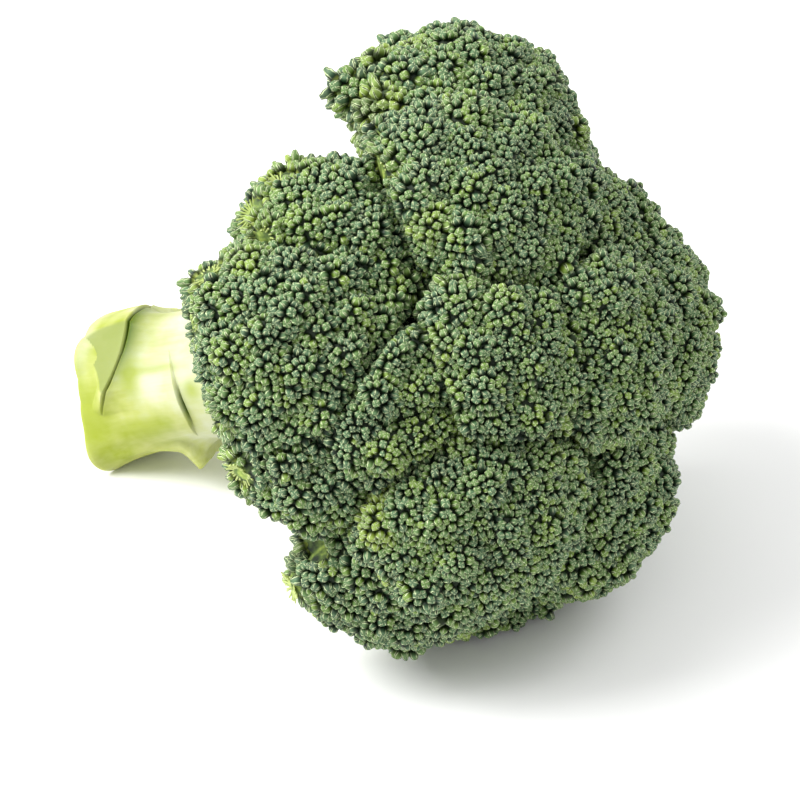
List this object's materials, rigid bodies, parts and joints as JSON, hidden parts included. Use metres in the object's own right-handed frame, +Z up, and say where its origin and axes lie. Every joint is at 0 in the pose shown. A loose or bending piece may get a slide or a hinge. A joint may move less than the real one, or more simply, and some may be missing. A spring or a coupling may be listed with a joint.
{
  "type": "broccoli head",
  "caption": "Cut broccoli head lying on its side: pale stalk with leaf stubs, branches that fork into twigs, and domed crowns of clustered green buds.",
  "frame": {"origin": "on the resting plane, under the middle of the bounding box", "axes": "+Z up from the surface that the head lies on, +X level from the cut end of the stalk towards the top of the crown"},
  "size_m": [0.1735, 0.1624, 0.1373],
  "materials": {
    "stalk_green": "smooth waxy pale yellow-green stalk and branches, whitish in places, finely streaked lengthwise",
    "bud_green": "matt deep blue-green flower buds with paler yellow-green edges"
  },
  "bodies": {
    "root": {"stalk": "stalk_green", "crown_middle": "bud_green", "crown_inner_near": "bud_green", "crown_inner_side": "bud_green", "crown_inner_top": "bud_green", "crown_inner_far_top": "bud_green", "crown_inner_far": "bud_green", "crown_inner_under": "bud_green", "crown_inner_low": "bud_green", "crown_outer_top": "bud_green", "crown_outer_near_top": "bud_green", "crown_outer_near": "bud_green", "crown_outer_near_low": "bud_green", "crown_outer_low": "bud_green", "crown_outer_under": "bud_green", "crown_outer_far_low": "bud_green", "crown_outer_far": "bud_green", "crown_outer_far_top": "bud_green"}
  },
  "joints": []
}
